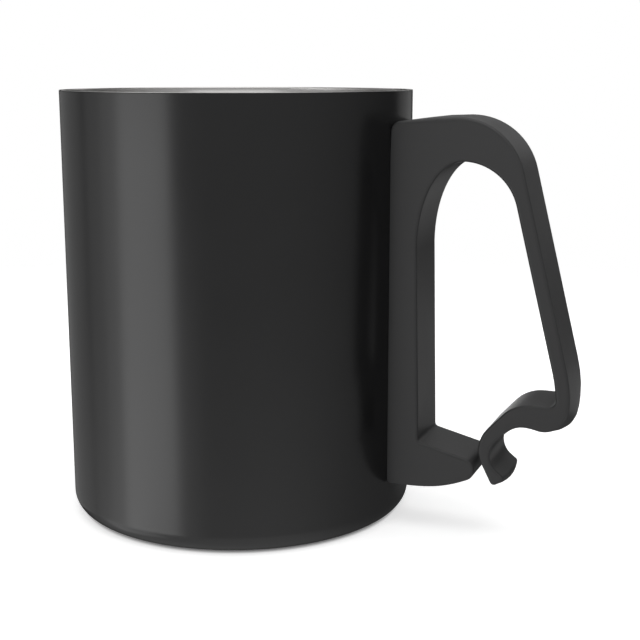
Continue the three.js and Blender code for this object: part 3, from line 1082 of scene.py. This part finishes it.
@dataclass
class Fixings:
    """What holds the handle: two welded brackets and a cross-head screw from below."""

    turning: Turning
    zinc: bpy.types.Material
    fit: float = 0.3
    pocket_room: float = 1.6  # depth of a pocket round a bracket's foot
    sheet: float = 1.0
    tongue: float = 5.0
    head_height: float = 2.0
    shank: float = 2.3  # core of the thread
    thread: float = 2.8  # crest of the thread
    pitch: float = 0.8
    tip: float = 1.2
    thread_steps: int = 32  # points on each turn of the thread
    thread_runout: float = 1.5  # turns that the thread leaves bare
    ridge_sides: int = 4
    head_edge: float = 0.15
    cross: float = 2.6  # across the recess
    cross_slot: float = 0.75
    cross_depth: float = 1.1
    cross_taper: float = 0.55  # its size at the bottom
    cross_flare: float = 1.1  # its size just outside the head
    cut_over: float = 0.2  # how far that is outside
    bore_over: float = 1.0  # how far the bore's cutter starts below the handle
    steps: int = 64

    def __post_init__(self) -> None:
        """Takes the fixings' places from the frame."""
        low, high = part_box("lock_screw")
        self.axis = (low.x + high.x) / 2 / MM
        self.head = (high.y - low.y) / MM
        self.head_face = low.z / MM
        self.screw_tip = high.z / MM
        self.upper = [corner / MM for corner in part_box("upper_bracket")]
        self.lower = [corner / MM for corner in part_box("lower_bracket")]
        self.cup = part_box("outer_shell")[1].x / MM
        self.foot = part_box("handle_frame")[0].z / MM

    def pockets(self) -> list[bpy.types.Object]:
        """Rooms in the handle for the brackets and the screw.

        Returns:
            Solids to take out of the handle.
        """
        deep = self.cup + self.pocket_room
        low, high = self.upper
        width = high.y - low.y + 2 * self.fit
        bend = high.z - self.tongue - self.sheet
        face = high.x - self.sheet - self.fit
        back = high.x + self.fit
        behind = self.cup - self.pocket_room
        upper = [
            (behind, low.z - self.tongue - self.fit),
            (deep, low.z - self.tongue - self.fit),
            (deep, bend - self.fit),
            (back, bend - self.fit),
            (back, high.z + self.fit),
            (face, high.z + self.fit),
            (face, bend + self.sheet + self.fit),
            (behind, bend + self.sheet + self.fit),
        ]
        low, high = self.lower
        shelf = low.z + self.sheet + self.fit
        lower = [
            (behind, low.z - self.fit),
            (high.x + self.fit, low.z - self.fit),
            (high.x + self.fit, shelf),
            (deep, shelf),
            (deep, high.z + self.fit),
            (behind, high.z + self.fit),
        ]
        wide = self.head / 2 + self.fit
        narrow = self.thread / 2 + self.fit
        seat = self.head_face + self.head_height + self.fit
        mouth = self.foot - self.bore_over
        end = self.screw_tip + self.fit
        bore = Outline(complex(0, mouth))
        for reach, height in ((wide, mouth), (wide, seat), (narrow, seat), (narrow, end), (0, end)):
            bore.run(complex(reach, height))
        hole = self.turning.turn("screw_room", bore, self.steps, self.zinc, False)
        hole.data.transform(self.offset())
        return [slab("upper_room", upper, width), slab("lower_room", lower, width), hole]

    def offset(self) -> Matrix:
        """The move from the origin to the screw's axis."""
        return Matrix.Translation((self.axis * MM, 0, 0))

    def recess(self) -> bpy.types.Object:
        """Makes a solid to cut the cross recess with.

        Returns:
            The solid, on the origin's axis.
        """
        arm = self.cross / 2
        slot = self.cross_slot / 2
        quarter = [complex(arm, -slot), complex(arm, slot), complex(slot, slot)]
        plan = [corner * 1j**turn for turn in range(4) for corner in quarter]
        outside = self.head_face - self.cut_over
        levels = [(outside, self.cross_flare), (self.head_face + self.cross_depth, self.cross_taper)]
        rings = [[(p.real * size, p.imag * size, z) for p in plan] for z, size in levels]
        return prism("recess", *rings)

    def screw(self) -> bpy.types.Object:
        """Turns the low round-headed screw, which points up, with its recess and thread.

        Returns:
            The screw.
        """
        rim = self.head / 2
        core = self.shank / 2
        under = self.head_face + self.head_height
        line = Outline(complex(0, self.head_face))
        dome = (rim, self.head_height / 2)
        line.ellipse(complex(0, self.head_face + self.head_height / 2), dome, -QUARTER, 0)
        line.corner(complex(rim, under), complex(core, under), self.head_edge)
        line.run(complex(core, under), complex(core, self.screw_tip - self.tip), complex(0, self.screw_tip))
        made = self.turning.turn("cross_screw", line, self.steps, self.zinc, False)
        cut(made, [self.recess()])
        sizes = {
            "Core": core,
            "Ridge": self.thread / 2 - core,
            "Pitch": self.pitch,
            "Foot": under + self.pitch,
            "Length": self.screw_tip - self.tip - under - self.thread_runout * self.pitch,
        }
        threading = Threading(self.thread_steps, self.ridge_sides)
        threading.apply(made, self.zinc, {label: size * MM for label, size in sizes.items()})
        made.data.transform(self.offset())
        return made

    def build(self) -> None:
        """Builds the screw and dresses the brackets."""
        place(self.screw(), Body.MUG, Slot.ZINC, "lock_screw")
        for name in ("upper_bracket", "lower_bracket"):
            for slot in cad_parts[name].material_slots:
                slot.material = self.zinc
            LOG.info("%s keeps its solid and is zinc plated", name)


def place(made: bpy.types.Object, body: Body, slot: Slot, *nodes: str) -> None:
    """Puts a finished piece on the frame.

    Args:
        made: The piece.
        body: The body that it moves with.
        slot: Not used.
        nodes: The solids that it stands for.
    """
    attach(made, body.value)
    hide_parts(*nodes)
    LOG.info("%s rides on %s for %s", made.name, body.value, ", ".join(nodes))


@dataclass(frozen=True)
class SoftBox:
    """A flat lamp that is aimed at the mug."""

    name: str
    place: Point  # metres
    size: tuple[float, float]
    glow: float  # brightness of its face, where 1 is white
    aim: Point = (0.0, 0.0, 0.045)

    def build(self) -> None:
        """Hangs the lamp."""
        light = bpy.data.lights.new(self.name, "AREA")
        light.shape = "RECTANGLE"
        light.size, light.size_y = self.size
        light.energy = self.glow * math.pi * self.size[0] * self.size[1]
        lamp = bpy.data.objects.new(self.name, light)
        lamp.location = self.place
        lamp.rotation_euler = (Vector(self.aim) - Vector(self.place)).to_track_quat("-Z", "Y").to_euler()
        bpy.context.scene.collection.objects.link(lamp)


@dataclass(frozen=True)
class Glow:
    """A part of the room that is lighter than the rest."""

    strength: float
    towards: Point
    reach: tuple[float, float]  # share of the way towards it where it starts and where it is full
    below: tuple[float, float] = (-3.0, -2.0)  # how far under the horizon it starts and is full

    def light(self, work: NodeWork, rise: Value, down: Value) -> Value:
        """Adds the nodes of this light.

        Args:
            work: The tree of the world.
            rise: The direction of a ray.
            down: How far the ray points down.

        Returns:
            The brightness in that direction.
        """
        sides = {0: rise, 1: self.towards}
        share = work.add("ShaderNodeVectorMath", sides, {"operation": "DOT_PRODUCT"}, "Value")
        return work.step(share, *self.reach) * work.step(down, *self.below) * self.strength


@dataclass
class Studio:
    """Pale floor, soft light and the camera at the photograph's angle."""

    room: tuple[Glow, ...] = (
        Glow(0.44, (0.364, -0.931, 0.0), (-0.95, 0.95)),
        Glow(0.45, (-0.139, -0.788, -0.6), (-0.25, 0.85), (0.2, 0.5)),
        Glow(0.07, (0.931, 0.364, 0.0), (-0.3, 0.5), (0.15, 0.3)),
    )
    floor_radius: float = 0.5
    floor_steps: int = 96
    floor_drop: float = 0.0002  # below the mug's base
    floor_fade: tuple[float, float] = (0.16, 0.34)
    floor_colour: Colour = (0.55, 0.55, 0.55)
    floor_seen: Colour = (0.9, 0.9, 0.9)  # colour for the camera
    floor_lift: float = 0.62  # white that only the camera sees
    painted_contact_reach: float = 0.0007  # width of the painted contact shade: a dark line on the floor where the mug stands, which only the camera sees
    contact_rays: int = 8
    eye: Point = (0.1061, -0.2262, 0.08855)
    heading: float = 21.34
    pitch: float = 11.548
    lens: float = 68.92
    sensor: float = 36.0
    nearest: float = 0.01  # what the camera sees starts here
    boxes: tuple[SoftBox, ...] = (
        SoftBox("left_box", (-0.470, -0.647, -0.1), (0.55, 0.5), 1.97),
        SoftBox("near_side_box", (-0.706, -0.376, -0.1), (0.225, 0.5), 0.79),
        SoftBox("side_box", (-0.7825, -0.166, -0.1), (0.225, 0.5), 0.4),
        SoftBox("fill_box", (-0.139, -0.788, -0.2), (0.25, 0.25), 0.23),
        SoftBox("under_box", (-0.568, -0.328, -0.459), (0.55, 0.33), 0.68),
        SoftBox("rim_box", (-0.740, 0.300, -0.1), (0.65, 0.5), 0.28),
        SoftBox("back_low_box", (0.2205, 0.769, -0.155), (0.45, 0.15), 0.5),
        SoftBox("back_box", (0.2205, 0.769, 0.055), (0.45, 0.07), 0.33),
        SoftBox("far_box", (0.207, 0.773, 0.31), (0.43, 0.32), 0.5),
        SoftBox("behind_box", (-0.287, 0.747, -0.1), (0.32, 0.36), 2.0),
        SoftBox("rear_fill_box", (-0.35, 0.55, 0.6), (1.0, 0.6), 0.75),
        SoftBox("top_box", (0.10, 0.0, 0.9), (1.0, 1.0), 1.4),
        SoftBox("front_box", (0.40, -0.77, 0.585), (1.2, 0.5), 0.5),
    )

    def floor(self) -> None:
        """A white floor round the mug that keeps its real shadow, has a painted contact shade along the base,
        and fades into the background.
        """
        disc = {"vertices": self.floor_steps, "radius": self.floor_radius, "fill_type": "NGON"}
        bpy.ops.mesh.primitive_circle_add(**disc)
        made = bpy.context.object
        made.name = "floor"
        made.location.z = -self.floor_drop
        made.visible_glossy = False
        material = bpy.data.materials.new("floor")
        material.use_nodes = True
        work = NodeWork(material.node_tree)
        spot = work.add("ShaderNodeTexCoord", output="Object")
        reach = work.add("ShaderNodeVectorMath", {0: spot}, {"operation": "LENGTH"}, "Value")
        camera = work.add("ShaderNodeLightPath", output="Is Camera Ray")
        paint = work.blend(camera, self.floor_colour, self.floor_seen)
        matt = work.add("ShaderNodeBsdfDiffuse", {"Color": paint})
        rays = {"samples": self.contact_rays}
        near = {"Distance": self.painted_contact_reach}
        # painted contact shade: ambient occlusion takes the camera-only white lift away close to the mug's
        # base, which darkens a thin line round it
        painted_contact_shade = work.add("ShaderNodeAmbientOcclusion", near, rays, "AO")
        lift = work.add("ShaderNodeEmission", {"Strength": camera * painted_contact_shade * self.floor_lift})
        lit = work.add("ShaderNodeAddShader", {0: matt, 1: lift})
        clear = work.add("ShaderNodeBsdfTransparent")
        fade = work.step(reach, *self.floor_fade)
        mixed = work.add("ShaderNodeMixShader", {0: fade, 1: lit, 2: clear})
        work.add("ShaderNodeOutputMaterial", {"Surface": mixed})
        made.data.materials.append(material)

    def background(self) -> None:
        """A white background, which is a dim room for light and mirrored rays."""
        world = bpy.data.worlds.new("studio")
        world.use_nodes = True
        work = NodeWork(world.node_tree)
        path = work.add("ShaderNodeLightPath", output="Is Camera Ray")
        seen = path.math("MAXIMUM", path.other("Is Transmission Ray"))
        rise = work.add("ShaderNodeTexCoord", output="Generated")
        down = work.add("ShaderNodeSeparateXYZ", {"Vector": rise}).other("Z") * -1.0
        dim = sum(glow.light(work, rise, down) for glow in self.room)
        strength = dim + seen * (1.0 - dim)
        glow = work.add("ShaderNodeBackground", {"Color": (1.0, 1.0, 1.0, 1.0), "Strength": strength})
        work.add("ShaderNodeOutputWorld", {"Surface": glow})
        bpy.context.scene.world = world

    def camera(self) -> None:
        """Sets the camera at the photograph's viewing angle."""
        data = bpy.data.cameras.new("camera")
        data.lens = self.lens
        data.sensor_width = self.sensor
        data.clip_start = self.nearest
        made = bpy.data.objects.new("camera", data)
        made.location = self.eye
        made.rotation_euler = (QUARTER - math.radians(self.pitch), 0.0, math.radians(self.heading))
        bpy.context.scene.collection.objects.link(made)
        bpy.context.scene.camera = made

    def build(self) -> None:
        """Sets up the studio."""
        self.camera()
        self.floor()
        self.background()
        for box in self.boxes:
            box.build()
        bpy.context.scene.view_settings.view_transform = "Standard"


def main() -> None:
    """Builds the mug and its studio."""
    logging.basicConfig(level=logging.INFO, format="%(message)s")
    turning = Turning()
    zinc = ZincPlate().build()
    Studio().build()
    Cup(turning, BlackCoat().build(), BrushedSteel().build()).build()
    fixings = Fixings(turning, zinc)
    Handle(MouldedPlastic().build()).build(fixings.pockets())
    fixings.build()


if __name__ == "__main__":
    main()
